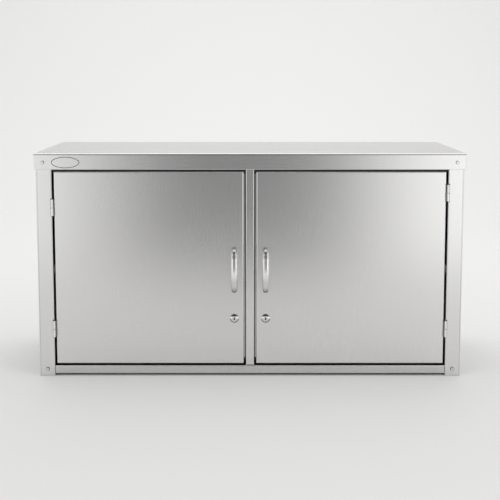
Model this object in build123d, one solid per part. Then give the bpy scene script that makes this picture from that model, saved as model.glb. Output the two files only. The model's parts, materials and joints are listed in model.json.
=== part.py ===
from build123d import *
import os

# A knock-down stainless steel cabinet with two inset doors, in millimetres.
# X is the width, the front faces -Y, Z is up, and the origin is on the floor
# under the middle of everything, handles and screw heads included.

# Whole cabinet, over the lid
cabinet_width = 1200.0
cabinet_depth = 450.0
cabinet_height = 632.5

# Carcass sheet
sheet = 1.2
fold_radius = 2.5
overrun = 6.0
seat_gap = 0.3

# Lid
lid_drop = 45.5
lid_fold_radius = 3.5
lid_seat_gap = 0.15
lid_overhang = 5.0
hem_gap = 0.4
hem_height = 9.0
hem_corner_gap = 4.0

# Corner posts and side panels
post_width = 43.4
jamb_depth = 25.0
rear_flange_width = 32.0
foot_flange_width = 24.0
flange_relief = 8.0
foot_tab_gap = 1.0

# Bottom panel and its front rail
rail_bottom = 6.8
rail_height = 23.0
rail_end_gap = 0.8
rail_return = 14.0
tray_side_gap = 0.5
tray_drop = 22.0
tray_tab_width = 33.0
tray_notch_gap = 2.0

# Back panel and wall rails
back_sheet = 1.0
back_side_gap = 1.6
back_foot_gap = 0.4
wall_rail_height = 40.0
wall_rail_lip = 12.0
wall_rail_end_gap = 22.0
wall_rail_sheet = 1.5
wall_rail_low_z = 110.0
wall_rail_top_drop = 72.5
wall_hole_spacing = 800.0
wall_hole_radius = 4.5

# Doors
door_gap_side = 5.3
door_gap_mullion = 5.4
door_gap_top = 5.4
door_gap_bottom = 5.6
door_depth = 20.0
door_sheet = 1.0
door_fold_radius = 4.0
door_corner_radius = 1.6
door_return = 12.0
liner_sheet = 0.8
liner_gap = 0.5

# Centre mullion and door stops
mullion_width = 23.2
mullion_stop_width = 15.4
mullion_foot_gap = 3.0
mullion_stop_foot_gap = 18.0
mullion_tab_setback = 4.0
stop_gap = 1.5
stop_drop = 14.0
top_rail_rise = 38.0
top_rail_end_gap = 0.3

# Shelf, its standards and clips
shelf_front_setback = 32.0
shelf_back_setback = 20.0
shelf_end_gap = 1.5
shelf_flange = 25.0
shelf_return = 10.0
stiffener_width = 60.0
stiffener_crown = 34.0
stiffener_depth = 16.0
stiffener_end_setback = 30.0
standard_width = 20.0
standard_depth = 5.0
standard_sheet = 1.0
standard_end_gap = 38.6
standard_setback = 60.0
slot_pitch = 40.0
slot_height = 9.0
slot_width = 12.6
clip_width = 12.0
clip_sheet = 1.5
clip_reach = 14.0
clip_leg = 14.0
clip_hook = 5.0
clip_play = 0.3

# Machine screws and nuts
screw_radius = 2.4
screw_hole_radius = 2.6
screw_head_radius = 4.75
screw_head_height = 2.2
screw_head_rounding = 1.5
screw_tail = 1.3
nut_radius = 4.6
nut_height = 4.0
lid_screw_inset = 25.0
lid_screw_drop = 25.5
base_screw_inset = 22.0
base_screw_z = 19.5
base_head_radius = 6.0
base_head_height = 2.6
base_head_rounding = 2.4
small_screw_radius = 1.9
small_hole_radius = 2.0
small_head_radius = 3.8
small_head_height = 1.8

# Back panel rivets
rivet_radius = 2.0
rivet_hole_radius = 2.05
rivet_head_radius = 4.0
rivet_head_height = 1.1
rivet_tail_radius = 3.0
rivet_tail_height = 2.0
rivet_inset = 17.0
rivet_low_z = 70.0
rivet_top_drop = 72.5
rivets_per_side = 5

# Hinges, with the barrel standing proud of the front
barrel_radius = 4.2
barrel_height = 45.6
barrel_split = 1.2
barrel_face_gap = 0.3
hinge_pin_radius = 2.0
hinge_pin_play = 0.04
pin_head_radius = 3.0
pin_head_height = 1.2
pin_head_rounding = 0.8
leaf_sheet = 1.5
leaf_depth = 18.0
leaf_knuckle_gap = 0.4
hinge_axis_inset = 1.0
hinge_notch_gap = 1.1
hinge_notch_depth = 4.0
hinge_low_z = 136.5
hinge_left_top_drop = 151.5
hinge_right_top_drop = 110.5

# Bow handles
handle_from_centre = 44.0
handle_below_middle = 4.5
handle_span = 116.0
handle_reach = 30.0
handle_foot_width = 10.4
handle_foot_height = 8.8
handle_grip_width = 17.0
handle_grip_thickness = 11.0
handle_edge_share = 0.96
handle_leg = 13.5
handle_shoulder_radius = 9.0
handle_stations = 21
handle_screw_radius = 2.0
handle_screw_bite = 7.0
handle_screw_play = 0.1

# Cam locks
lock_from_centre = 44.0
lock_below_handle = 138.0
bezel_radius = 12.6
bezel_flange = 1.4
bezel_flange_rounding = 1.2
bezel_height = 3.7
boss_foot_radius = 11.0
boss_crown_radius = 6.7
boss_rounding = 0.4
lock_body_radius = 9.5
lock_body_play = 0.2
lock_body_tail = 4.8
plug_radius = 5.9
plug_play = 0.05
plug_recess = 0.4
keyway_height = 8.4
keyway_width = 2.3
keyway_depth = 9.0
lock_nut_radius = 13.0
lock_nut_height = 4.0
cam_sheet = 2.0
cam_end_gap = 0.2
cam_width = 14.0
cam_reach = 34.0
cam_tip_width = 11.0
cam_square = 7.0
cam_square_play = 0.1
cam_screw_length = 10.0
cam_screw_head_radius = 5.6

# Magnetic catches, catch plates and buffers
catch_from_centre = 84.0
catch_width = 42.0
catch_depth = 12.0
catch_height = 32.0
catch_nose_height = 13.0
catch_nose_inset = 2.0
catch_top_gap = 1.5
catch_plate_width = 46.0
catch_plate_height = 15.0
catch_plate_sheet = 1.2
catch_face_gap = 0.3
buffer_radius = 4.0
buffer_height = 1.3
buffer_rounding = 0.5
buffer_z_drop = 6.5
buffer_hinge_inset = 16.0
buffer_centre_inset = 60.0

# Places that follow from the sizes
hem_stack = 2 * sheet + hem_gap
body_depth = cabinet_depth - 2 * hem_stack
overall_depth = handle_reach + body_depth + hem_stack + screw_head_height
front_y = handle_reach - overall_depth / 2
back_y = front_y + body_depth
lid_bottom = cabinet_height - lid_drop
side_top = cabinet_height - sheet - lid_seat_gap
side_x = cabinet_width / 2 - lid_overhang
side_inner_x = side_x - sheet
opening_x = side_x - post_width
floor_z = rail_bottom + rail_height
tray_x = side_inner_x - tray_side_gap
back_inner_y = back_y - sheet - back_sheet
door_bottom = floor_z + door_gap_bottom
door_top = lid_bottom - door_gap_top
door_hinge_x = opening_x - door_gap_side
door_free_x = mullion_width / 2 + door_gap_mullion
door_back_y = front_y + door_depth
stop_y = door_back_y + stop_gap
liner_back_y = door_back_y - door_sheet
hinge_x = opening_x - hinge_axis_inset
hinge_y = front_y - barrel_radius - barrel_face_gap
left_hinge_heights = (cabinet_height - hinge_left_top_drop, hinge_low_z)
right_hinge_heights = (cabinet_height - hinge_right_top_drop, hinge_low_z)
lock_back_y = liner_back_y + lock_body_tail
handle_z = (door_bottom + door_top) / 2 - handle_below_middle
lock_z = handle_z - lock_below_handle
wall_rail_high_z = cabinet_height - wall_rail_top_drop
rivet_high_z = cabinet_height - rivet_top_drop
standard_low_z = floor_z + standard_end_gap
standard_high_z = lid_bottom - standard_end_gap
middle_slot_z = (standard_low_z + standard_high_z) / 2
shelf_top_z = middle_slot_z + slot_height / 2 - clip_play + sheet


def block(low, high):
    """A block between two opposite corners."""
    size = Vector(*high) - Vector(*low)
    middle = (Vector(*high) + Vector(*low)) / 2
    return Pos(*middle) * Box(*size)


def bar_y(radius, low, high, x, z):
    """A round bar along Y from low to high."""
    upright = Cylinder(radius, high - low, align=(Align.CENTER, Align.CENTER, Align.MIN))
    return Pos(x, low, z) * Rot(-90, 0, 0) * upright


def cone_y(low_radius, high_radius, low, high, x, z):
    """A cone along Y, from its radius at low to its radius at high."""
    upright = Cone(low_radius, high_radius, high - low, align=(Align.CENTER, Align.CENTER, Align.MIN))
    return Pos(x, low, z) * Rot(-90, 0, 0) * upright


def bar_z(radius, low, high, x, y):
    """A round bar along Z from low to high."""
    upright = Cylinder(radius, high - low, align=(Align.CENTER, Align.CENTER, Align.MIN))
    return Pos(x, y, low) * upright


def sheet_section(points, thickness, radius, side):
    """The cut end of a folded sheet, from the line of its outer face."""
    line = FilletPolyline(*points, radius=radius)
    return make_face(offset(line, amount=thickness, side=side))


def folded_x(points, thickness, radius, side, half_length):
    """A sheet folded along X, from (Y, Z) points, and centred on the middle."""
    section = sheet_section(points, thickness, radius, side)
    return extrude(Plane.YZ * section, half_length, both=True)


def folded_y(points, thickness, radius, side, low, high):
    """A sheet folded along Y, from (X, Z) points."""
    section = sheet_section(points, thickness, radius, side)
    return extrude(Plane.XZ.offset(-low) * section, low - high)


def folded_z(points, thickness, radius, side, low, high):
    """A sheet folded along Z, from (X, Y) points."""
    section = sheet_section(points, thickness, radius, side)
    return extrude(Plane.XY.offset(low) * section, high - low)


def mirrored(part):
    """The same piece on the left side of the cabinet."""
    return mirror(part, about=Plane.YZ)


def both_sides(part):
    """A right-hand piece with its mirror image."""
    return [part, mirrored(part)]


def screw(head_y, tail_y, x, z, radius, head_radius, head_height, rounding):
    """A pan-head screw along Y, with its head seated at head_y and its end at tail_y."""
    inward = 1 if tail_y > head_y else -1
    low_head = min(head_y, head_y - inward * head_height)
    head = bar_y(head_radius, low_head, low_head + head_height, x, z)
    crown = head.edges().sort_by(Axis.Y)[0 if inward > 0 else -1]
    head = fillet(crown, rounding)
    shank = bar_y(radius, min(head_y, tail_y), max(head_y, tail_y), x, z)
    return head + shank


def hex_nut_y(low, high, x, z, radius, bore_radius):
    """A hexagon nut along Y with a clear bore."""
    plate = extrude(RegularPolygon(radius, 6), high - low)
    nut = Pos(x, low, z) * Rot(-90, 0, 0) * plate
    return nut - bar_y(bore_radius, low - overrun, high + overrun, x, z)


def lid_hem(length):
    """A closed hem along X whose outer face looks along -Y from the origin."""
    turn = hem_stack / 2
    fold = Pos(turn, turn) * Circle(turn)
    fold += Pos(turn, (turn + hem_height) / 2) * Rectangle(hem_stack, hem_height - turn)
    slit = Pos(turn, turn) * Circle(hem_gap / 2)
    slit += Pos(turn, turn) * Rectangle(hem_gap, hem_height, align=(Align.CENTER, Align.MIN))
    return extrude(Plane.YZ * (fold - slit), length / 2, both=True)


def lid_strips(lid):
    """The lid cut at its bend line, so that its deck and each flange collide as plain strips."""
    bend = Plane.XY.offset(cabinet_height - lid_fold_radius)
    side = Plane.YZ.offset(cabinet_width / 2 - hem_corner_gap)
    deck = split(lid, bend, keep=Keep.TOP)
    flanges = split(lid, bend, keep=Keep.BOTTOM)
    right = split(flanges, side, keep=Keep.TOP)
    middle = mirrored(split(mirrored(split(flanges, side, keep=Keep.BOTTOM)), side, keep=Keep.BOTTOM))
    return [deck, right, mirrored(right), middle]


def make_top_panel():
    """The lid: one tray with welded corners and hems along its lower edges."""
    lid = Box(cabinet_width, cabinet_depth, lid_drop - hem_stack / 2)
    bends = lid.edges().filter_by(Axis.Z) + lid.faces().sort_by(Axis.Z)[-1].edges()
    lid = fillet(bends, lid_fold_radius)
    lid = offset(lid, amount=-sheet, openings=lid.faces().sort_by(Axis.Z)[0])
    middle_y = (front_y + back_y) / 2
    lid = Pos(0, middle_y, cabinet_height - lid_drop / 2 + hem_stack / 4) * lid
    long_hem = Pos(0, -cabinet_depth / 2, 0) * lid_hem(cabinet_width - 2 * hem_corner_gap)
    short_hem = Pos(0, -cabinet_width / 2, 0) * lid_hem(cabinet_depth - 2 * hem_corner_gap)
    for turn, hem in ((0, long_hem), (90, short_hem), (180, long_hem), (270, short_hem)):
        lid += Pos(0, middle_y, lid_bottom) * Rot(0, 0, turn) * hem
    for x, z in lid_screw_places():
        lid -= bar_y(screw_hole_radius, front_y - overrun, back_y + overrun, x, z)
    return lid_strips(lid)


def lid_screw_places():
    """Where the lid screws are, seen from the front."""
    x = cabinet_width / 2 - lid_screw_inset
    z = cabinet_height - lid_screw_drop
    return [(x, z), (-x, z)]


def base_screw_places():
    """Where the base screws are, seen from the front."""
    x = side_x - base_screw_inset
    return [(x, base_screw_z), (-x, base_screw_z)]


def rivet_heights():
    """The heights of the back panel's rivets."""
    step = (rivet_high_z - rivet_low_z) / (rivets_per_side - 1)
    return [rivet_low_z + step * i for i in range(rivets_per_side)]


def make_side_panel(hinge_heights):
    """The right side panel: door jamb, post face, side, rear flange and turned-in ends."""
    outline = [
        (opening_x, front_y + jamb_depth),
        (opening_x, front_y),
        (side_x, front_y),
        (side_x, back_y),
        (side_x - rear_flange_width, back_y),
    ]
    panel = folded_z(outline, sheet, fold_radius, Side.LEFT, 0, side_top)
    low_y = front_y + flange_relief
    high_y = back_y - flange_relief
    for edge_z, inward, side in ((0, 1, Side.RIGHT), (side_top, -1, Side.LEFT)):
        turn_z = edge_z + inward * fold_radius
        edge = sorted((edge_z - inward * overrun, turn_z))
        panel -= block((side_x - sheet - overrun, low_y, edge[0]), (side_x + overrun, high_y, edge[1]))
        flange = [
            (side_x, edge_z + inward * (fold_radius + foot_flange_width)),
            (side_x, edge_z),
            (side_x - foot_flange_width, edge_z),
        ]
        panel += folded_y(flange, sheet, fold_radius, side, low_y, high_y)
    tab_low_x = opening_x + fold_radius + foot_tab_gap
    tab_high_x = side_x - fold_radius - foot_tab_gap
    panel -= block((tab_low_x, front_y - overrun, -overrun), (tab_high_x, low_y, fold_radius))
    tab = [(front_y, foot_flange_width), (front_y, 0), (low_y - foot_tab_gap, 0)]
    tab = folded_x(tab, sheet, fold_radius, Side.LEFT, (tab_high_x - tab_low_x) / 2)
    panel += Pos((tab_low_x + tab_high_x) / 2, 0, 0) * tab
    for x, z in lid_screw_places() + base_screw_places():
        panel -= bar_y(screw_hole_radius, front_y - overrun, back_y + overrun, x, z)
    for z in rivet_heights():
        panel -= bar_y(rivet_hole_radius, back_y - overrun, back_y + overrun, side_x - rivet_inset, z)
    notch_x = hinge_x + barrel_radius + hinge_notch_gap
    for z in hinge_heights:
        reach = barrel_height / 2 + pin_head_height + hinge_notch_gap
        low = (opening_x - overrun, front_y - overrun, z - reach)
        panel -= block(low, (notch_x, front_y + hinge_notch_depth, z + reach))
    return panel


def make_bottom_panel():
    """The cabinet's floor, with the front rail, side and rear flanges and corner tabs."""
    rail = [
        (front_y + rail_return, rail_bottom),
        (front_y, rail_bottom),
        (front_y, floor_z),
        (front_y + jamb_depth + tray_drop, floor_z),
    ]
    panel = folded_x(rail, sheet, fold_radius, Side.RIGHT, opening_x - rail_end_gap)
    floor_front = front_y + jamb_depth + tray_notch_gap
    rear = [(floor_front, floor_z), (back_inner_y, floor_z), (back_inner_y, floor_z - tray_drop)]
    panel += folded_x(rear, sheet, fold_radius, Side.RIGHT, tray_x - fold_radius)
    sides = [
        (-tray_x, floor_z - tray_drop),
        (-tray_x, floor_z),
        (tray_x, floor_z),
        (tray_x, floor_z - tray_drop),
    ]
    panel += folded_y(sides, sheet, fold_radius, Side.RIGHT, floor_front, back_inner_y - fold_radius)
    tab_y = front_y + sheet
    tab = [(tray_x - tray_tab_width, tab_y), (tray_x, tab_y), (tray_x, floor_front + tray_drop)]
    corner = folded_z(tab, sheet, fold_radius, Side.LEFT, floor_z - tray_drop, floor_z - fold_radius)
    for piece in both_sides(corner):
        panel += piece
    for x, z in base_screw_places():
        panel -= bar_y(screw_hole_radius, front_y, back_y, x, z)
    for x, y in mullion_screw_places():
        panel -= bar_z(small_hole_radius, floor_z - sheet - overrun, floor_z + overrun, x, y)
    return panel


def make_back_panel():
    """The flat back sheet, with its wall-fixing and rivet holes."""
    half = side_inner_x - back_side_gap
    low = (-half, back_inner_y, rail_bottom + back_foot_gap)
    panel = block(low, (half, back_y - sheet, side_top - sheet - back_foot_gap))
    for x, z in base_screw_places() + lid_screw_places():
        panel -= bar_y(screw_hole_radius, back_inner_y - overrun, back_y + overrun, x, z)
    for z in rivet_heights():
        for x in (side_x - rivet_inset, rivet_inset - side_x):
            panel -= bar_y(rivet_hole_radius, back_inner_y - overrun, back_y + overrun, x, z)
    for x in (-wall_hole_spacing / 2, wall_hole_spacing / 2):
        for z in (wall_rail_low_z, wall_rail_high_z):
            panel -= bar_y(wall_hole_radius, back_inner_y - overrun, back_y + overrun, x, z)
    return panel


def make_wall_rail(z):
    """A channel lying flat on the back panel, with two wall-fixing holes."""
    low = z - wall_rail_height / 2
    high = z + wall_rail_height / 2
    outline = [
        (back_inner_y - wall_rail_lip, low),
        (back_inner_y, low),
        (back_inner_y, high),
        (back_inner_y - wall_rail_lip, high),
    ]
    half = side_inner_x - wall_rail_end_gap
    rail = folded_x(outline, wall_rail_sheet, fold_radius, Side.LEFT, half)
    for x in (-wall_hole_spacing / 2, wall_hole_spacing / 2):
        rail -= bar_y(wall_hole_radius, back_inner_y - wall_rail_lip, back_y, x, z)
    return rail


def mullion_screw_places():
    """Where the mullion's end tabs are screwed, seen from above."""
    near = front_y + mullion_tab_setback
    step = (stop_y - near) / 3
    return [(0, near + step), (0, near + 2 * step)]


def make_center_mullion():
    """The upright hat section between the doors, with door stops and end tabs."""
    half = mullion_width / 2
    outline = [
        (-half - mullion_stop_width, stop_y),
        (-half, stop_y),
        (-half, front_y),
        (half, front_y),
        (half, stop_y),
        (half + mullion_stop_width, stop_y),
    ]
    post = folded_z(outline, sheet, fold_radius, Side.LEFT, floor_z, lid_bottom)
    wide = half + mullion_stop_width + overrun
    stop_front = stop_y - seat_gap
    deep = stop_y + overrun
    stop_foot = floor_z + mullion_stop_foot_gap
    stop_head = lid_bottom - stop_drop - seat_gap
    post -= block((-wide, stop_front, floor_z - overrun), (wide, deep, stop_foot))
    post -= block((-wide, stop_front - fold_radius, stop_head), (wide, deep, lid_bottom + overrun))
    for x in (-wide, half):
        post -= block((x, stop_front - fold_radius, floor_z - overrun), (x + wide - half, deep, stop_foot))
    face_high = (wide, front_y + fold_radius, floor_z + mullion_foot_gap)
    post -= block((-wide, front_y - overrun, floor_z - overrun), face_high)
    for z in (floor_z, lid_bottom - sheet):
        tab = block(
            (sheet - half, front_y + mullion_tab_setback, z),
            (half - sheet, stop_front - fold_radius, z + sheet),
        )
        post += tab
    for x, y in mullion_screw_places():
        post -= bar_z(small_hole_radius, floor_z - overrun, lid_bottom + overrun, x, y)
    return post


def make_top_front_rail():
    """The rail behind the lid's front edge, whose lower lip stops the doors."""
    outline = [
        (front_y, lid_bottom + top_rail_rise),
        (front_y, lid_bottom),
        (stop_y, lid_bottom),
        (stop_y, lid_bottom - stop_drop),
    ]
    rail = folded_x(outline, sheet, fold_radius, Side.LEFT, opening_x - top_rail_end_gap)
    for x, y in mullion_screw_places():
        rail -= bar_z(small_hole_radius, lid_bottom - overrun, lid_bottom + sheet + overrun, x, y)
    return rail


def make_shelf():
    """The shelf, with folded and returned front and rear edges."""
    front = front_y + shelf_front_setback
    rear = back_inner_y - shelf_back_setback
    low = shelf_top_z - shelf_flange
    outline = [
        (front + shelf_return, low),
        (front, low),
        (front, shelf_top_z),
        (rear, shelf_top_z),
        (rear, low),
        (rear - shelf_return, low),
    ]
    half = side_inner_x - standard_depth - shelf_end_gap
    return folded_x(outline, sheet, fold_radius, Side.RIGHT, half)


def make_shelf_stiffener():
    """The hat section welded under the shelf."""
    middle = (front_y + shelf_front_setback + back_inner_y - shelf_back_setback) / 2
    top = shelf_top_z - sheet
    low = top - stiffener_depth
    outline = [
        (middle - stiffener_width / 2, top),
        (middle - stiffener_crown / 2, top),
        (middle - stiffener_crown / 2, low),
        (middle + stiffener_crown / 2, low),
        (middle + stiffener_crown / 2, top),
        (middle + stiffener_width / 2, top),
    ]
    half = side_inner_x - stiffener_end_setback
    return folded_x(outline, sheet, fold_radius, Side.RIGHT, half)


def standard_places():
    """The depth of the front and the rear shelf standards."""
    return [front_y + standard_setback, back_y - standard_setback]


def slot_heights():
    """The middle heights of the slots, of which the middle one carries the shelf."""
    each_way = int((standard_high_z - middle_slot_z - slot_height) / slot_pitch)
    return [middle_slot_z + slot_pitch * i for i in range(-each_way, each_way + 1)]


def make_shelf_standard(y):
    """One slotted upright channel on the right side panel."""
    face_x = side_inner_x - standard_depth
    outline = [
        (side_inner_x, y - standard_width / 2),
        (face_x, y - standard_width / 2),
        (face_x, y + standard_width / 2),
        (side_inner_x, y + standard_width / 2),
    ]
    ends = (standard_low_z, standard_high_z)
    channel = folded_z(outline, standard_sheet, fold_radius, Side.RIGHT, *ends)
    for z in slot_heights():
        low = (face_x - overrun, y - slot_width / 2, z - slot_height / 2)
        channel -= block(low, (side_inner_x - standard_sheet, y + slot_width / 2, z + slot_height / 2))
    return channel


def make_shelf_clip(y):
    """One clip hooked into a slot, with its ledge under the shelf."""
    face_x = side_inner_x - standard_depth
    top = shelf_top_z - sheet
    hook_x = face_x + standard_sheet + clip_play
    outline = [
        (face_x - clip_reach, top),
        (hook_x + clip_sheet, top),
        (hook_x + clip_sheet, top - clip_sheet - clip_hook),
        (hook_x, top - clip_sheet - clip_hook),
        (hook_x, top - clip_sheet),
        (face_x, top - clip_sheet),
        (face_x, top - clip_sheet - clip_leg),
        (face_x - clip_sheet, top - clip_sheet - clip_leg),
        (face_x - clip_sheet, top - clip_sheet),
        (face_x - clip_reach, top - clip_sheet),
    ]
    side_view = make_face(Polyline(*outline, close=True))
    low = y - clip_width / 2
    return extrude(Plane.XZ.offset(-low) * side_view, -clip_width)


def make_lid_screws():
    """The four screws through the lid's front and rear edges."""
    front_tail = front_y + sheet + nut_height + screw_tail
    rear_tail = back_inner_y - nut_height - screw_tail
    sizes = (screw_radius, screw_head_radius, screw_head_height, screw_head_rounding)
    screws = [screw(front_y - hem_stack, front_tail, x, z, *sizes) for x, z in lid_screw_places()]
    screws += [screw(back_y + hem_stack, rear_tail, x, z, *sizes) for x, z in lid_screw_places()]
    return screws


def make_base_screws():
    """The four screws through the foot of the posts and the rear flanges."""
    front_tail = front_y + 2 * sheet + nut_height + screw_tail
    rear_tail = back_inner_y - sheet - nut_height - screw_tail
    sizes = (screw_radius, base_head_radius, base_head_height, base_head_rounding)
    screws = [screw(front_y, front_tail, x, z, *sizes) for x, z in base_screw_places()]
    screws += [screw(back_y, rear_tail, x, z, *sizes) for x, z in base_screw_places()]
    return screws


def make_nuts(places, front_seat, rear_seat):
    """Nuts on the inside of the front and the rear screws."""
    nuts = []
    for x, z in places:
        nuts.append(hex_nut_y(front_seat, front_seat + nut_height, x, z, nut_radius, screw_hole_radius))
        nuts.append(hex_nut_y(rear_seat - nut_height, rear_seat, x, z, nut_radius, screw_hole_radius))
    return nuts


def make_mullion_screws():
    """The screws that hold the mullion's end tabs."""
    screws = []
    for x, y in mullion_screw_places():
        for seat, inward in ((floor_z + sheet, -1), (lid_bottom - sheet, 1)):
            head_far = seat - inward * small_head_height
            tail = seat + inward * (2 * sheet + screw_tail)
            head = bar_z(small_head_radius, min(seat, head_far), max(seat, head_far), x, y)
            screws.append(head + bar_z(small_screw_radius, min(seat, tail), max(seat, tail), x, y))
    return screws


def make_rivet(x, z):
    """One blind rivet through the rear flange and the back panel."""
    head = bar_y(rivet_head_radius, back_y, back_y + rivet_head_height, x, z)
    shank = bar_y(rivet_radius, back_inner_y, back_y, x, z)
    tail = bar_y(rivet_tail_radius, back_inner_y - rivet_tail_height, back_inner_y, x, z)
    return head + shank + tail


def make_back_rivets():
    """The rivets down both sides of the back panel."""
    return [rivet for z in rivet_heights() for rivet in both_sides(make_rivet(side_x - rivet_inset, z))]


def make_catch():
    """A magnetic catch behind the door stop, its nose under the stop's lip."""
    seat_y = stop_y + sheet
    top = lid_bottom - catch_top_gap
    low_x = catch_from_centre - catch_width / 2
    high_x = catch_from_centre + catch_width / 2
    body = block((low_x, seat_y, top - catch_height), (high_x, seat_y + catch_depth, top))
    nose_y = liner_back_y + catch_plate_sheet + catch_face_gap
    nose_low = (low_x + catch_nose_inset, nose_y, top - catch_height)
    nose_high = (high_x - catch_nose_inset, seat_y, top - catch_height + catch_nose_height)
    return body + block(nose_low, nose_high)


def make_buffer(x):
    """A small domed rubber buffer on the front of the door stop."""
    z = lid_bottom - buffer_z_drop
    pad = bar_y(buffer_radius, stop_y - buffer_height, stop_y, x, z)
    return fillet(pad.edges().sort_by(Axis.Y)[0], buffer_rounding)


def make_buffers():
    """Two buffers for each door, near its hinges and near its free edge."""
    pads = []
    for x in (door_hinge_x - buffer_hinge_inset, door_free_x + buffer_centre_inset):
        pads += both_sides(make_buffer(x))
    return pads


def knuckle_bore(middle_z):
    """The hole for the hinge pin."""
    reach = barrel_height / 2 + overrun
    return bar_z(hinge_pin_radius + hinge_pin_play, middle_z - reach, middle_z + reach, hinge_x, hinge_y)


def make_frame_leaf(middle_z):
    """The hinge half on the jamb, with the lower half of the barrel."""
    low = middle_z - barrel_height / 2
    high = middle_z + barrel_height / 2
    split = middle_z - barrel_split / 2
    back = front_y + leaf_depth
    clear_y = hinge_y + barrel_radius + leaf_knuckle_gap
    leaf = block((opening_x - leaf_sheet, clear_y, low), (opening_x, back, high))
    leaf += block((opening_x - leaf_sheet, hinge_y, low), (opening_x, back, split))
    leaf += bar_z(barrel_radius, low, split, hinge_x, hinge_y)
    return leaf - knuckle_bore(middle_z)


def make_door_leaf(middle_z):
    """The hinge half on the door's edge, with the upper half of the barrel."""
    low = middle_z - barrel_height / 2
    high = middle_z + barrel_height / 2
    split = middle_z + barrel_split / 2
    back = front_y + leaf_depth
    clear_y = hinge_y + barrel_radius + leaf_knuckle_gap
    leaf = block((door_hinge_x, clear_y, low), (door_hinge_x + leaf_sheet, back, high))
    leaf += block((door_hinge_x, hinge_y, split), (door_hinge_x + leaf_sheet, back, high))
    leaf += bar_z(barrel_radius, split, high, hinge_x, hinge_y)
    return leaf - knuckle_bore(middle_z)


def make_hinge_pin(middle_z):
    """The captive hinge pin, with a domed head at each end."""
    low = middle_z - barrel_height / 2
    high = middle_z + barrel_height / 2
    pin = bar_z(hinge_pin_radius, low, high, hinge_x, hinge_y)
    foot = bar_z(pin_head_radius, low - pin_head_height, low, hinge_x, hinge_y)
    head = bar_z(pin_head_radius, high, high + pin_head_height, hinge_x, hinge_y)
    foot = fillet(foot.edges().sort_by(Axis.Z)[0], pin_head_rounding)
    head = fillet(head.edges().sort_by(Axis.Z)[-1], pin_head_rounding)
    return pin + foot + head


def handle_screw_heights():
    """The heights of the handle's two screws, one in the middle of each foot."""
    return [handle_z - handle_span / 2, handle_z + handle_span / 2]


def make_door_skin():
    """The right door's outer pan, open at the back inside its returned edges."""
    low = (door_free_x, front_y, door_bottom)
    high = (door_hinge_x, door_back_y, door_top)
    pan = block(low, high)
    pan = fillet(pan.edges().filter_by(Axis.Y), door_corner_radius)
    pan = fillet(pan.faces().sort_by(Axis.Y)[0].edges(), door_fold_radius)
    inner_low = (low[0] + door_sheet, front_y + door_sheet, low[2] + door_sheet)
    inner_high = (high[0] - door_sheet, liner_back_y, high[2] - door_sheet)
    hollow = block(inner_low, inner_high)
    pan -= fillet(hollow.faces().sort_by(Axis.Y)[0].edges(), door_fold_radius - door_sheet)
    window_low = (low[0] + door_return, front_y + door_fold_radius, low[2] + door_return)
    window_high = (high[0] - door_return, door_back_y + overrun, high[2] - door_return)
    pan -= block(window_low, window_high)
    body_radius = lock_body_radius + lock_body_play
    pan -= bar_y(body_radius, front_y - overrun, front_y + overrun, lock_from_centre, lock_z)
    shank = handle_screw_radius + handle_screw_play
    for z in handle_screw_heights():
        pan -= bar_y(shank, front_y - overrun, front_y + overrun, handle_from_centre, z)
    return pan


def make_door_liner():
    """The sheet that closes the back of the right door, inside the skin's returns."""
    edge = door_sheet + liner_gap
    low = (door_free_x + edge, liner_back_y - liner_sheet, door_bottom + edge)
    liner = block(low, (door_hinge_x - edge, liner_back_y, door_top - edge))
    near = liner_back_y - overrun
    far = liner_back_y + overrun
    liner -= bar_y(lock_body_radius + lock_body_play, near, far, lock_from_centre, lock_z)
    for z in handle_screw_heights():
        liner -= bar_y(handle_screw_radius + handle_screw_play, near, far, handle_from_centre, z)
    return liner


def handle_bow():
    """The middle line of the right handle, its legs run on behind the door's face."""
    crown_y = front_y - handle_reach + handle_grip_thickness / 2
    leg_y = front_y - handle_leg
    root_y = front_y + overrun
    low, high = handle_screw_heights()
    grip = ThreePointArc((leg_y, high), (crown_y, handle_z), (leg_y, low))
    bow = Wire([Line((root_y, high), (leg_y, high)), grip, Line((leg_y, low), (root_y, low))])
    shoulders = bow.vertices().sort_by(Axis.X)[0:2]
    bow = bow.fillet_2d(handle_shoulder_radius, shoulders)
    return Plane.YZ.offset(handle_from_centre) * bow


def make_handle():
    """The right door's bow handle, thin at the feet, full at the grip and cut off flat."""
    bow = handle_bow()
    sections = []
    for i in range(handle_stations):
        share = i / (handle_stations - 1)
        fullness = 1 - (2 * share - 1) ** 4
        width = handle_foot_width + (handle_grip_width - handle_foot_width) * fullness
        height = handle_foot_height + (handle_grip_thickness - handle_foot_height) * fullness
        station = Plane(origin=bow @ share, x_dir=(1, 0, 0), z_dir=bow % share)
        edge_radius = handle_edge_share * min(width, height) / 2
        sections.append(station * RectangleRounded(width, height, edge_radius))
    handle = loft(sections)
    low = (handle_from_centre - handle_grip_width, front_y, handle_z - handle_span)
    high = (handle_from_centre + handle_grip_width, front_y + 2 * overrun, handle_z + handle_span)
    handle -= block(low, high)
    bore = handle_screw_radius + handle_screw_play
    deep = front_y - handle_screw_bite - screw_tail
    for z in handle_screw_heights():
        handle -= bar_y(bore, deep, front_y + overrun, handle_from_centre, z)
    return handle


def make_handle_screws():
    """The two screws from inside the door into the handle's feet."""
    sizes = (handle_screw_radius, small_head_radius, small_head_height, small_head_height / 2)
    tail = front_y - handle_screw_bite
    return [screw(liner_back_y, tail, handle_from_centre, z, *sizes) for z in handle_screw_heights()]


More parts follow.
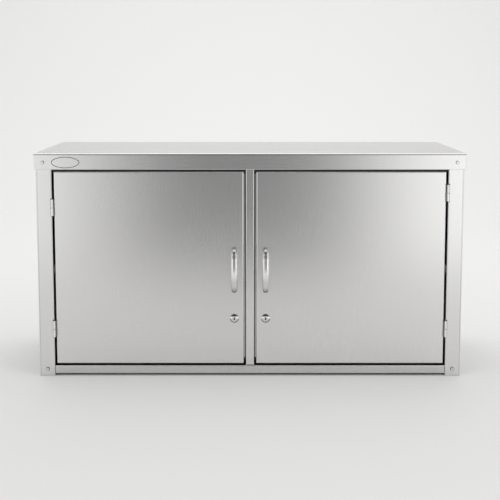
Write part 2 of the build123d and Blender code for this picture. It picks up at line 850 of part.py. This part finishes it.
def make_lock_housing():
    """The right lock's body, with its thin round flange and raised conical boss."""
    x, z = lock_from_centre, lock_z
    face_y = front_y - bezel_height
    flange_y = front_y - bezel_flange
    flange = bar_y(bezel_radius, flange_y, front_y, x, z)
    flange = fillet(flange.edges().sort_by(Axis.Y)[0], bezel_flange_rounding)
    boss = cone_y(boss_crown_radius, boss_foot_radius, face_y, flange_y, x, z)
    boss = fillet(boss.edges().sort_by(Axis.Y)[0], boss_rounding)
    housing = flange + boss + bar_y(lock_body_radius, front_y, lock_back_y, x, z)
    return housing - bar_y(plug_radius + plug_play, face_y - overrun, lock_back_y + overrun, x, z)


def make_lock_plug():
    """The turning plug, with its keyway in front and the cam's square behind."""
    x, z = lock_from_centre, lock_z
    face_y = front_y - bezel_height + plug_recess
    plug = bar_y(plug_radius, face_y, lock_back_y, x, z)
    square = cam_square / 2
    square_back = lock_back_y + cam_end_gap + cam_sheet
    plug += block((x - square, lock_back_y, z - square), (x + square, square_back, z + square))
    slot = block(
        (x - keyway_width / 2, face_y - overrun, z - keyway_height / 2),
        (x + keyway_width / 2, face_y + keyway_depth, z + keyway_height / 2),
    )
    eye_z = z - keyway_height / 2 + keyway_width
    slot += bar_y(keyway_width, face_y - overrun, face_y + keyway_depth, x, eye_z)
    tap_end = square_back - cam_screw_length - screw_tail
    return plug - slot - bar_y(small_hole_radius, tap_end, square_back + overrun, x, z)


def make_lock_cam():
    """The lock's cam, hanging down while the door is unlocked."""
    x, z = lock_from_centre, lock_z
    low = lock_back_y + cam_end_gap
    tip_z = cam_tip_width / 2 - cam_reach
    side_view = Circle(cam_width / 2)
    side_view += Pos(0, tip_z) * Circle(cam_tip_width / 2)
    arm = Polyline(
        (-cam_width / 2, 0),
        (-cam_tip_width / 2, tip_z),
        (cam_tip_width / 2, tip_z),
        (cam_width / 2, 0),
        close=True,
    )
    side_view += make_face(arm)
    hole = cam_square + cam_square_play
    side_view -= Rectangle(hole, hole)
    return Pos(x, low, z) * extrude(Plane.XZ * side_view, -cam_sheet)


def make_cam_screw():
    """The screw that holds the cam on the plug."""
    seat = lock_back_y + cam_end_gap + cam_sheet
    sizes = (small_screw_radius, cam_screw_head_radius, small_head_height, small_head_height / 2)
    return screw(seat, seat - cam_screw_length, lock_from_centre, lock_z, *sizes)


def make_catch_plate():
    """The steel plate on the door's liner that the magnet holds."""
    top = lid_bottom - catch_top_gap - catch_height + catch_nose_height
    low_x = catch_from_centre - catch_plate_width / 2
    low = (low_x, liner_back_y, top - catch_plate_height)
    high = (low_x + catch_plate_width, liner_back_y + catch_plate_sheet, top)
    return block(low, high)


def carcass_nodes():
    """Every piece of the fixed carcass, by name."""
    front_nut_seat = front_y + sheet
    nodes = {
        "top_panel": make_top_panel(),
        "top_front_rail": make_top_front_rail(),
        "left_side_panel": mirrored(make_side_panel(left_hinge_heights)),
        "right_side_panel": make_side_panel(right_hinge_heights),
        "bottom_panel": make_bottom_panel(),
        "back_panel": make_back_panel(),
        "upper_wall_rail": make_wall_rail(wall_rail_high_z),
        "lower_wall_rail": make_wall_rail(wall_rail_low_z),
        "center_mullion": make_center_mullion(),
        "shelf": make_shelf(),
        "shelf_stiffener": make_shelf_stiffener(),
        "shelf_standards": [p for y in standard_places() for p in both_sides(make_shelf_standard(y))],
        "shelf_clips": [p for y in standard_places() for p in both_sides(make_shelf_clip(y))],
        "lid_screws": make_lid_screws(),
        "lid_screw_nuts": make_nuts(lid_screw_places(), front_nut_seat, back_inner_y),
        "base_screws": make_base_screws(),
        "base_screw_nuts": make_nuts(base_screw_places(), front_nut_seat + sheet, back_inner_y - sheet),
        "mullion_screws": make_mullion_screws(),
        "back_panel_rivets": make_back_rivets(),
        "magnetic_catches": both_sides(make_catch()),
        "stop_buffers": make_buffers(),
    }
    return nodes


def hinge_nodes(side, heights, place):
    """The hinge halves and pins of one door, by name."""
    nodes = {}
    for level, z in zip(("upper", "lower"), heights):
        nodes[f"{side}_{level}_hinge_frame_leaf"] = place(make_frame_leaf(z))
        nodes[f"{side}_{level}_hinge_door_leaf"] = place(make_door_leaf(z))
        nodes[f"{side}_{level}_hinge_pin"] = place(make_hinge_pin(z))
    return nodes


def door_nodes(side, place):
    """Every piece of one door and its lock, by name."""
    nut_seat = liner_back_y
    nut = hex_nut_y(
        nut_seat,
        nut_seat + lock_nut_height,
        lock_from_centre,
        lock_z,
        lock_nut_radius,
        lock_body_radius + lock_body_play,
    )
    pieces = {
        "door_skin": make_door_skin(),
        "door_liner": make_door_liner(),
        "handle": make_handle(),
        "handle_screws": make_handle_screws(),
        "lock_housing": make_lock_housing(),
        "lock_nut": nut,
        "lock_plug": make_lock_plug(),
        "lock_cam": make_lock_cam(),
        "cam_screw": make_cam_screw(),
        "catch_plate": make_catch_plate(),
    }
    placed = {}
    for name, piece in pieces.items():
        solids = piece if isinstance(piece, list) else [piece]
        placed[f"{side}_{name}"] = [place(solid) for solid in solids]
    return placed


def as_is(part):
    """A right-hand piece, left where it is."""
    return part


nodes = carcass_nodes()
nodes.update(hinge_nodes("left", left_hinge_heights, mirrored))
nodes.update(hinge_nodes("right", right_hinge_heights, as_is))
nodes.update(door_nodes("left", mirrored))
nodes.update(door_nodes("right", as_is))

os.makedirs("parts", exist_ok=True)
for name, piece in nodes.items():
    solids = piece if isinstance(piece, list) else [piece]
    solids = [solid for part in solids for solid in part.solids()]
    export_step(Compound(children=solids) if len(solids) > 1 else solids[0], f"parts/{name}.step")
print(len(nodes), "nodes")
print("hinge axis", hinge_x, hinge_y, "front", front_y, "back", back_y, "stop", stop_y)
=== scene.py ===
import json
import math
from collections import namedtuple

import bmesh
import bpy
from mathutils import Matrix, Vector


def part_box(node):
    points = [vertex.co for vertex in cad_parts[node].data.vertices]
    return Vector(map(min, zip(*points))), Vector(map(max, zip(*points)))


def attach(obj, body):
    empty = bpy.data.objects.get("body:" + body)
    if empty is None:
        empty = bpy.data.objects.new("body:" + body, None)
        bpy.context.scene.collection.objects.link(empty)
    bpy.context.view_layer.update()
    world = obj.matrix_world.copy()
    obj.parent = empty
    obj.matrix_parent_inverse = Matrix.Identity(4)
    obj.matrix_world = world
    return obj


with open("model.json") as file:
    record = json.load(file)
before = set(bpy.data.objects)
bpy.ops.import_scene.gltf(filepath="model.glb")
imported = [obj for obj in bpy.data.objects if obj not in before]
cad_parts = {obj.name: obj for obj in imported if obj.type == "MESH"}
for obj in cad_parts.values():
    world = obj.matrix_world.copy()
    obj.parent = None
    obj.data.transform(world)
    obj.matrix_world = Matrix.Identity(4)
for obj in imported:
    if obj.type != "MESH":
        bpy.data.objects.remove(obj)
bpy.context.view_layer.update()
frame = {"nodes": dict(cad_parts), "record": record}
nodes = frame["nodes"]

# Places of the CAD pieces, in metres
lid_low, lid_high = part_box("top_panel")
handle_low, handle_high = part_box("right_handle")
plug_low, plug_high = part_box("right_lock_plug")
lid_front_y = lid_low.y
door_face_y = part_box("right_door_skin")[0].y
barrel_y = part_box("right_upper_hinge_frame_leaf")[0].y
lid_screw_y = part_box("lid_screws")[0].y
base_screw_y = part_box("base_screws")[0].y
side_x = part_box("right_side_panel")[1].x
lock_z = (plug_low.z + plug_high.z) / 2

# Oval plate on the lid's front edge
plate_width = 0.081
plate_height = 0.034
plate_thickness = 0.0012
plate_margin = 0.0016
plate_line_width = 0.0015
plate_line_depth = 0.00004
plate_bevel = 0.0006
plate_sharp_angle = math.radians(25)
plate_inset = 0.088
plate_drop = 0.0255
plate_segments = 96
plate_x = lid_low.x + plate_inset
plate_z = lid_high.z - plate_drop

# Front screws: the radius of the heads, and the cross recesses in them
lid_screw_radius = 0.00475
base_screw_radius = 0.006
recess_depth = 0.0005
recess_share = 0.22
recess_sunk = 0.0002
recess_reach = 0.0032

# Camera
camera_distance = 2.843
camera_height = 0.8647
camera_pitch = math.radians(6.151)
camera_lens = 74.2
camera_shift = -0.14

# Studio
floor_front = -7.0
floor_back = 2.6
sweep_radius = 1.6
sweep_height = 6.0
sweep_steps = 32
weld_distance = 0.0001
floor_half_width = 9.0
floor_grey = 0.82
floor_warmth = 0.004
floor_roughness = 0.9
backdrop_grey = 0.89
backdrop_warmth = 0.002
backdrop_start = -0.9
backdrop_full = 0.3
world_colour = (1.0, 1.0, 0.997, 1.0)
world_strength = 0.72
horizon_strength = 0.66
seen_rays = ("Is Camera Ray", "Is Glossy Ray", "Is Transmission Ray")

# Cards that only reflections see
card_y = -1.9
card_half_width = 3.2
card_height = 2.7
card_dark = 0.23
card_left = 1.2
card_right = 1.38
card_dark_reach = 0.26
card_light_reach = 0.85
card_left_dark_reach = 0.36
card_left_light_reach = 0.98
card_shade = 0.8
card_shade_start = 0.75
card_shade_full = 1.15
ceiling_length = 3.6
ceiling_width = 2.0
ceiling_y = -0.9
ceiling_height = 2.7
ceiling_glow = 1.5

# Lamps
lamp_size = 1.6
lamp_aim = (0, 0, 0.3)
left_lamp_place = (-2.6, -2.6, 2.2)
left_lamp_power = 10.0
right_lamp_place = (2.8, -2.4, 2.2)
right_lamp_power = 20.0
overhead_lamp_size = 4.0
overhead_lamp_aim = (0, 0.9, 0)
overhead_lamp_place = (0, 1.9, 3.8)
overhead_lamp_power = 48.0

# Grain of the metals and texture of the mouldings
grain_across_x = (14.0, 2600.0, 2600.0)
grain_across_z = (2600.0, 2600.0, 14.0)
grain_fine = (1500.0, 1500.0, 1500.0)
grain_detail = 2.0
grain_depth = 0.0000008
cloud_scale = (5.0, 5.0, 5.0)
cloud_contrast = 0.015
moulding_scale = (900.0, 900.0, 900.0)
moulding_detail = 3.0
moulding_contrast = 0.15
moulding_wander = 0.1
moulding_depth = 0.00003
far = 1.0

# A stretch along one axis where a metal has another grey, as painted shade or a painted highlight, and how
# softly it starts and ends
Band = namedtuple("Band", "axis start end blur shade")


class Link:
    """One shader socket, on which sums are written as plain expressions."""

    def __init__(self, finish, socket):
        self.finish = finish
        self.socket = socket

    def sum(self, operation, *values):
        """A Math node on sockets and numbers."""
        inputs = dict(enumerate(values))
        return self.finish.node("ShaderNodeMath", {"operation": operation}, inputs)

    def __add__(self, other):
        return self.sum("ADD", self, other)

    __radd__ = __add__

    def __sub__(self, other):
        return self.sum("SUBTRACT", self, other)

    def __rsub__(self, other):
        return self.sum("SUBTRACT", other, self)

    def __mul__(self, other):
        return self.sum("MULTIPLY", self, other)

    __rmul__ = __mul__


class Finish:
    """A node tree, filled through one helper."""

    def __init__(self, owner):
        owner.use_nodes = True
        self.owner = owner
        self.tree = owner.node_tree
        self.tree.nodes.clear()

    def node(self, kind, settings=None, inputs=None, output=0):
        """Add a node with its settings and the values or links of its sockets."""
        made = self.tree.nodes.new(kind)
        for key, value in (settings or {}).items():
            if key == "stops":
                self.set_stops(made.color_ramp, value)
            else:
                setattr(made, key, value)
        for key, value in (inputs or {}).items():
            if isinstance(value, Link):
                self.tree.links.new(value.socket, made.inputs[key])
            else:
                made.inputs[key].default_value = value
        return Link(self, made.outputs[output]) if made.outputs else made

    def set_stops(self, ramp, stops):
        """Give a colour ramp its stops, as places and greys."""
        while len(ramp.elements) < len(stops):
            ramp.elements.new(0.5)
        for element, (place, grey) in zip(ramp.elements, stops):
            element.position = place
            element.color = (grey, grey, grey, 1.0)

    def place(self):
        """Object coordinates."""
        return self.node("ShaderNodeTexCoord", output="Object")

    def along(self, axis):
        """One object coordinate."""
        return self.node("ShaderNodeSeparateXYZ", None, {"Vector": self.place()}, output=axis)

    def noise(self, scales, detail):
        """Noise stretched by one scale for each axis."""
        stretched = self.node("ShaderNodeMapping", None, {"Vector": self.place(), "Scale": scales})
        inputs = {"Vector": stretched, "Scale": 1.0, "Detail": detail}
        return self.node("ShaderNodeTexNoise", {"noise_dimensions": "3D"}, inputs)

    def mixed(self, share, first, second):
        """A colour between two colours."""
        settings = {"data_type": "RGBA"}
        return self.node("ShaderNodeMix", settings, {0: share, 6: first, 7: second}, output=2)

    def faded(self, value, start, full):
        """A share that rises smoothly from 0 at start to 1 at full."""
        inputs = {"Value": value, "From Min": start, "From Max": full}
        return self.node("ShaderNodeMapRange", {"interpolation_type": "SMOOTHSTEP"}, inputs)

    def surface(self, shader):
        """Give the material its shader."""
        self.node("ShaderNodeOutputMaterial", None, {"Surface": shader})


def grey(level, warmth=0.0):
    """A near-neutral colour, with a little less blue where it is warm."""
    return (level * (1 + warmth), level, level * (1 - warmth), 1.0)


def metal(name, level, roughness, grain, warmth=0.006, wander=0.02, bands=()):
    """A metal with a fine grain, brushed along the axis whose scale is least, with painted shade and
    highlights in bands.
    """
    finish = Finish(bpy.data.materials.new(name))
    streaks = finish.noise(grain, grain_detail)
    cloud = finish.noise(cloud_scale, grain_detail)
    dull = grey(level * (1 - cloud_contrast), warmth)
    bright = grey(level * (1 + cloud_contrast), warmth)
    colour = finish.mixed(cloud, dull, bright)
    # Each band paints shade or a highlight into the base colour
    for band in bands:
        along = finish.along(band.axis)
        risen = finish.faded(along, band.start, band.start + band.blur)
        share = risen - finish.faded(along, band.end, band.end + band.blur)
        colour = finish.mixed(share, colour, grey(band.shade, warmth))
    rough = roughness + wander * (streaks - 0.5) + 0.5 * wander * (cloud - 0.5)
    bump = finish.node("ShaderNodeBump", None, {"Height": streaks, "Distance": grain_depth, "Strength": 1.0})
    values = {"Base Color": colour, "Metallic": 1.0, "Roughness": rough, "Normal": bump}
    finish.surface(finish.node("ShaderNodeBsdfPrincipled", None, values))
    return finish.owner


def plastic(name, level, roughness):
    """A plastic, rubber or paint with a fine moulded texture."""
    finish = Finish(bpy.data.materials.new(name))
    speckle = finish.noise(moulding_scale, moulding_detail)
    dull = grey(level * (1 - moulding_contrast))
    colour = finish.mixed(speckle, dull, grey(level * (1 + moulding_contrast)))
    rough = roughness + moulding_wander * (speckle - 0.5)
    relief = {"Height": speckle, "Distance": moulding_depth, "Strength": 1.0}
    bump = finish.node("ShaderNodeBump", None, relief)
    values = {"Base Color": colour, "Roughness": rough, "Normal": bump}
    finish.surface(finish.node("ShaderNodeBsdfPrincipled", None, values))
    return finish.owner


# Painted shade and highlight on the folded sheets: painted shade on all of the sheet behind the door faces,
# which darkens the gaps round the doors, and painted dark lines along the posts' outer bends
gap_shade = Band("Y", start=door_face_y + 0.002, end=far, blur=0.004, shade=0.56)
left_post_bend_shade = Band("X", start=0.0022 - side_x, end=0.0036 - side_x, blur=0.0008, shade=0.5)
right_post_bend_shade = Band("X", start=side_x - 0.0044, end=side_x - 0.0030, blur=0.0008, shade=0.5)
# Along the lid's front bend: a painted highlight, and a painted dark line just below it
lid_bend_highlight = Band("Y", start=lid_front_y + 0.0002, end=lid_front_y + 0.0032, blur=0.0004, shade=1.0)
lid_bend_shade_line = Band("Z", start=lid_high.z - 0.0054, end=lid_high.z - 0.0032, blur=0.0006, shade=0.34)
sheet_bands = (gap_shade, left_post_bend_shade, right_post_bend_shade)
lid_bands = (lid_bend_highlight, lid_bend_shade_line)

# Painted shade and highlight on the handles, from the foot up: painted shade on the foot, a painted
# highlight along the grip and painted shade on the head
handle_foot_shade = Band("Z", start=-far, end=handle_low.z + 0.002, blur=0.02, shade=0.34)
handle_grip_highlight = Band("Z", start=handle_high.z - 0.1, end=handle_high.z - 0.03, blur=0.036, shade=0.96)
handle_head_shade = Band("Z", start=handle_high.z - 0.014, end=far, blur=0.008, shade=0.42)
handle_bands = (handle_foot_shade, handle_grip_highlight, handle_head_shade)

# Painted shade and highlights on the locks, hinges and front screws
# Lock bezels: painted shade round the rim, a painted highlight across the flanks, and a painted dark
# reflection as a crescent at the top
bezel_rim_shade = Band("Y", start=door_face_y - 0.0022, end=door_face_y + 0.0005, blur=0.0006, shade=0.16)
bezel_flank_highlight = Band("Z", start=lock_z - 0.0025, end=lock_z + 0.0035, blur=0.002, shade=0.76)
bezel_crescent_shade = Band("Z", start=lock_z + 0.0065, end=lock_z + 0.0105, blur=0.0012, shade=0.3)
bezel_bands = (bezel_rim_shade, bezel_flank_highlight, bezel_crescent_shade)
# Painted shade in the keyway: the plug is near black behind its face
keyway_shade = Band("Y", start=plug_low.y + 0.0003, end=far, blur=0.0009, shade=0.03)
# Painted shade on the hinge barrels' sides, behind their fronts
barrel_side_shade = Band("Y", start=barrel_y + 0.0009, end=barrel_y + 0.006, blur=0.0008, shade=0.22)
# Painted shade round the rims of the front screw heads
lid_screw_rim_shade = Band("Y", start=lid_screw_y, end=lid_screw_y + 0.0022, blur=0.0004, shade=0.01)
base_screw_rim_shade = Band("Y", start=base_screw_y + 0.0003, end=base_screw_y + 0.0026, blur=0.0004, shade=0.01)

sheet_steel = metal(
    "satin_sheet_steel", level=0.74, roughness=0.27, grain=grain_across_z, bands=sheet_bands
)
lid_steel = metal("satin_lid_steel", level=0.74, roughness=0.27, grain=grain_across_x, bands=lid_bands)
inner_steel = metal("mill_finish_inner_steel", level=0.74, roughness=0.36, grain=grain_across_x)
# Painted shade: the bottom panel is a darker copy of the sheet steel, so its front rail looks shaded
painted_shade_floor_steel = metal("satin_floor_steel_painted_shade", level=0.64, roughness=0.27, grain=grain_across_x)
# Painted shade: the top front rail is near black, so the gap above the doors shows dark
rail_shade_steel = metal("rail_steel_painted_shade", level=0.2, roughness=0.6, grain=grain_across_x)
handle_steel = metal(
    "polished_handle_steel", level=0.7, roughness=0.25, grain=grain_fine, wander=0.03, bands=handle_bands
)
lock_chrome = metal("lock_nickel_plate", level=0.7, roughness=0.1, grain=grain_fine, wander=0.03)
bezel_chrome = metal(
    "lock_bezel_plate", level=0.7, roughness=0.1, grain=grain_fine, wander=0.03, bands=bezel_bands
)
plug_chrome = metal("lock_plug_plate", level=0.74, roughness=0.16, grain=grain_fine, bands=(keyway_shade,))
hinge_steel = metal("hinge_steel", level=0.86, roughness=0.2, grain=grain_fine, bands=(barrel_side_shade,))
fastener_steel = metal("fastener_steel", level=0.7, roughness=0.12, grain=grain_fine)
lid_screw_steel = metal(
    "lid_screw_steel", level=0.7, roughness=0.14, grain=grain_fine, bands=(lid_screw_rim_shade,)
)
base_screw_steel = metal(
    "base_screw_steel", level=0.7, roughness=0.14, grain=grain_fine, bands=(base_screw_rim_shade,)
)
# Painted shade for the screws' cross recesses
recess_shade_steel = metal("screw_recess_painted_shade", level=0.42, roughness=0.3, grain=grain_fine)
line_black = plastic("plate_line", level=0.05, roughness=0.5)
catch_plastic = plastic("catch_brown_plastic", level=0.06, roughness=0.45)
buffer_rubber = plastic("buffer_rubber", level=0.16, roughness=0.7)

slot_finishes = {
    "stainless_sheet": sheet_steel,
    "lid_sheet": lid_steel,
    "inner_steel": inner_steel,
    "handle_metal": handle_steel,
    "lock_metal": lock_chrome,
    "hinge_steel": hinge_steel,
    "fastener_steel": fastener_steel,
    "catch_plastic": catch_plastic,
    "buffer_rubber": buffer_rubber,
}

# Nodes whose finish isn't their slot's
own_finishes = {
    "top_front_rail": rail_shade_steel,
    "bottom_panel": painted_shade_floor_steel,
    "lid_screws": lid_screw_steel,
    "base_screws": base_screw_steel,
    "left_lock_housing": bezel_chrome,
    "right_lock_housing": bezel_chrome,
    "left_lock_plug": plug_chrome,
    "right_lock_plug": plug_chrome,
}


def finish_nodes():
    """Give each CAD node the finish of its own material slot, or the finish listed for it in own_finishes.
    """
    for subpart in frame["record"]["subparts"]:
        finish = own_finishes.get(subpart["node"], slot_finishes[subpart["material_slot"]])
        for place in nodes[subpart["node"]].material_slots:
            place.material = finish


def new_piece(name, mesh, body, finish):
    """Keep a finished bmesh as a piece that rides on a body."""
    data = bpy.data.meshes.new(name)
    bmesh.ops.recalc_face_normals(mesh, faces=mesh.faces)
    mesh.to_mesh(data)
    mesh.free()
    piece = bpy.data.objects.new(name, data)
    bpy.context.scene.collection.objects.link(piece)
    data.materials.append(finish)
    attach(piece, body)


def stand_on_lid(mesh):
    """Turn a flat bmesh upright and set it against the lid's front edge."""
    stand = Matrix.Translation((plate_x, lid_front_y - plate_thickness, plate_z))
    bmesh.ops.transform(mesh, matrix=stand @ Matrix.Rotation(math.pi / 2, 4, "X"), verts=mesh.verts)


def make_badge_plate():
    """A bare oval plate with rounded edges, near the left end of the lid's front edge; its raised rim is the
    line from make_badge_line.
    """
    plate = bmesh.new()
    bmesh.ops.create_circle(plate, cap_ends=True, segments=plate_segments, radius=0.5)
    bmesh.ops.scale(plate, verts=plate.verts, vec=(plate_width, plate_height, 1))
    border = [edge for edge in plate.edges if edge.is_boundary]
    sides = bmesh.ops.extrude_edge_only(plate, edges=border)
    rear = [item for item in sides["geom"] if isinstance(item, bmesh.types.BMVert)]
    bmesh.ops.translate(plate, verts=rear, vec=(0, 0, -plate_thickness))
    rear_edges = [edge for edge in plate.edges if edge.is_boundary]
    bmesh.ops.contextual_create(plate, geom=rear_edges)
    rounded = [edge for edge in plate.edges if edge.calc_face_angle(0) > plate_sharp_angle]
    bmesh.ops.bevel(
        plate, geom=rounded, offset=plate_bevel, segments=3, profile=0.5, material=-1, affect="EDGES"
    )
    stand_on_lid(plate)
    new_piece("badge_plate", plate, "cabinet", lid_steel)


def make_badge_line():
    """The dark line round the plate, just inside its edge."""
    line = bmesh.new()
    bmesh.ops.create_circle(line, cap_ends=True, segments=plate_segments, radius=0.5)
    width = plate_width - 2 * plate_margin
    height = plate_height - 2 * plate_margin
    bmesh.ops.scale(line, verts=line.verts, vec=(width, height, 1))
    bmesh.ops.inset_region(line, faces=line.faces[:], thickness=plate_line_width, use_boundary=True)
    centre = max(line.faces, key=lambda part: part.calc_area())
    bmesh.ops.delete(line, geom=[centre], context="FACES_ONLY")
    raised = bmesh.ops.extrude_face_region(line, geom=line.faces[:])
    front = [item for item in raised["geom"] if isinstance(item, bmesh.types.BMVert)]
    bmesh.ops.translate(line, verts=front, vec=(0, 0, plate_line_depth))
    stand_on_lid(line)
    new_piece("badge_line", line, "cabinet", line_black)


def make_screw_recess(name, place):
    """A darker cross on the crown of one screw, whose head faces -Y: painted shade for its recess."""
    cross = bmesh.new()
    arm = recess_reach * recess_share
    for width, height in ((recess_reach, arm), (arm, recess_reach)):
        made = bmesh.ops.create_cube(cross, size=1.0)
        bmesh.ops.scale(cross, verts=made["verts"], vec=(width, recess_depth, height))
    bmesh.ops.translate(cross, verts=cross.verts, vec=place)
    new_piece(name, cross, "cabinet", recess_shade_steel)


def make_screw_recesses():
    """The recesses of the four front screws."""
    for node, radius in (("lid_screws", lid_screw_radius), ("base_screws", base_screw_radius)):
        low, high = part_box(node)
        for side, x in (("left", low.x + radius), ("right", high.x - radius)):
            place = (x, low.y + recess_sunk, low.z + radius)
            make_screw_recess(f"{side}_{node}_recess", place)


def stage_piece(name, mesh, material):
    """Keep a bmesh as a part of the studio."""
    data = bpy.data.meshes.new(name)
    mesh.to_mesh(data)
    mesh.free()
    piece = bpy.data.objects.new(name, data)
    bpy.context.scene.collection.objects.link(piece)
    data.materials.append(material)
    return piece


def make_camera():
    """A camera in front of the middle, a little above the lid and tilted down."""
    data = bpy.data.cameras.new("camera")
    data.lens = camera_lens
    data.shift_y = camera_shift
    camera = bpy.data.objects.new("camera", data)
    camera.location = (0.0, lid_front_y - camera_distance, camera_height)
    camera.rotation_euler = (math.pi / 2 - camera_pitch, 0.0, 0.0)
    bpy.context.scene.collection.objects.link(camera)
    bpy.context.scene.camera = camera


def make_floor():
    """A pale floor that sweeps up into a backdrop."""
    sweep = bmesh.new()
    start = sweep.verts.new((-floor_half_width, floor_front, 0.0))
    end = sweep.verts.new((-floor_half_width, floor_back, 0.0))
    sweep.edges.new((start, end))
    centre = (-floor_half_width, floor_back, sweep_radius)
    turned = bmesh.ops.spin(
        sweep,
        geom=[end],
        cent=centre,
        axis=(1, 0, 0),
        angle=math.pi / 2,
        steps=sweep_steps,
        use_merge=False,
    )
    top = [item for item in turned["geom_last"] if isinstance(item, bmesh.types.BMVert)]
    risen = bmesh.ops.extrude_vert_indiv(sweep, verts=top)
    bmesh.ops.translate(sweep, verts=risen["verts"], vec=(0, 0, sweep_height))
    bmesh.ops.remove_doubles(sweep, verts=sweep.verts, dist=weld_distance)
    wide = bmesh.ops.extrude_edge_only(sweep, edges=list(sweep.edges))
    across = [item for item in wide["geom"] if isinstance(item, bmesh.types.BMVert)]
    bmesh.ops.translate(sweep, verts=across, vec=(2 * floor_half_width, 0, 0))
    for face in sweep.faces:
        face.smooth = True
    finish = Finish(bpy.data.materials.new("studio_floor"))
    share = finish.faded(finish.along("Y"), backdrop_start, backdrop_full)
    near = grey(floor_grey, floor_warmth)
    colour = finish.mixed(share, near, grey(backdrop_grey, backdrop_warmth))
    values = {"Base Color": colour, "Roughness": floor_roughness, "Specular IOR Level": 0.0}
    finish.surface(finish.node("ShaderNodeBsdfPrincipled", None, values))
    stage_piece("floor", sweep, finish.owner)


def make_reflection_card():
    """A card that only reflections see: dark in the middle and pale at both sides."""
    card = bmesh.new()
    bmesh.ops.create_grid(card, x_segments=1, y_segments=1, size=0.5)
    bmesh.ops.scale(card, verts=card.verts, vec=(2 * card_half_width, card_height, 1))
    turn = Matrix.Translation((0, card_y, card_height / 2)) @ Matrix.Rotation(math.pi / 2, 4, "X")
    bmesh.ops.transform(card, matrix=turn, verts=card.verts)
    finish = Finish(bpy.data.materials.new("reflection_card"))
    steps = [
        (-card_left_light_reach, card_left),
        (-card_left_dark_reach, card_dark),
        (card_dark_reach, card_dark),
        (card_light_reach, card_right),
    ]
    stops = [(0.5 + 0.5 * x / card_half_width, level) for x, level in steps]
    share = finish.along("X") * (0.5 / card_half_width) + 0.5
    ramp = finish.node("ShaderNodeValToRGB", {"stops": stops}, {"Fac": share}, output="Color")
    shade = card_shade * finish.faded(finish.along("Z"), card_shade_start, card_shade_full)
    glow = finish.mixed(shade, ramp, grey(0.0))
    finish.surface(finish.node("ShaderNodeEmission", None, {"Color": glow, "Strength": 1.0}))
    hide_card(stage_piece("reflection_card", card, finish.owner))


def make_ceiling_card():
    """A bright card overhead that only reflections see, for the light along the bends."""
    card = bmesh.new()
    bmesh.ops.create_grid(card, x_segments=1, y_segments=1, size=0.5)
    bmesh.ops.scale(card, verts=card.verts, vec=(ceiling_length, ceiling_width, 1))
    bmesh.ops.translate(card, verts=card.verts, vec=(0, ceiling_y, ceiling_height))
    finish = Finish(bpy.data.materials.new("ceiling_card"))
    finish.surface(finish.node("ShaderNodeEmission", None, {"Color": grey(1.0), "Strength": ceiling_glow}))
    hide_card(stage_piece("ceiling_card", card, finish.owner))


def hide_card(piece):
    """Leave a card to the reflections alone."""
    piece.visible_camera = False
    piece.visible_diffuse = False
    piece.visible_shadow = False


def make_softbox(name, location, size, energy, target, mirrored=True):
    """A soft area lamp aimed at one place, left out of the metal's reflections where not mirrored."""
    data = bpy.data.lights.new(name, "AREA")
    data.shape = "SQUARE"
    data.size = size
    data.energy = energy
    lamp = bpy.data.objects.new(name, data)
    lamp.location = location
    aim = Vector(target) - Vector(location)
    lamp.rotation_euler = aim.to_track_quat("-Z", "Y").to_euler()
    lamp.visible_camera = False
    lamp.visible_glossy = mirrored
    bpy.context.scene.collection.objects.link(lamp)


def make_world():
    """An even grey sky, a little darker where it is seen or mirrored."""
    world = bpy.data.worlds.new("studio")
    bpy.context.scene.world = world
    finish = Finish(world)
    seen = sum(finish.node("ShaderNodeLightPath", output=ray) for ray in seen_rays)
    glow = finish.node("ShaderNodeBackground", None, {"Color": world_colour, "Strength": world_strength})
    pale = finish.node("ShaderNodeBackground", None, {"Color": world_colour, "Strength": horizon_strength})
    mixed = finish.node("ShaderNodeMixShader", None, {0: seen, 1: glow, 2: pale})
    finish.node("ShaderNodeOutputWorld", None, {"Surface": mixed})


bpy.context.scene.view_settings.view_transform = "Standard"
make_camera()
make_world()
make_floor()
make_reflection_card()
make_ceiling_card()
make_softbox("left_softbox", left_lamp_place, lamp_size, left_lamp_power, lamp_aim)
make_softbox("right_softbox", right_lamp_place, lamp_size, right_lamp_power, lamp_aim)
make_softbox(
    "overhead_softbox",
    overhead_lamp_place,
    overhead_lamp_size,
    overhead_lamp_power,
    overhead_lamp_aim,
    mirrored=False,
)
finish_nodes()
make_badge_plate()
make_badge_line()
make_screw_recesses()
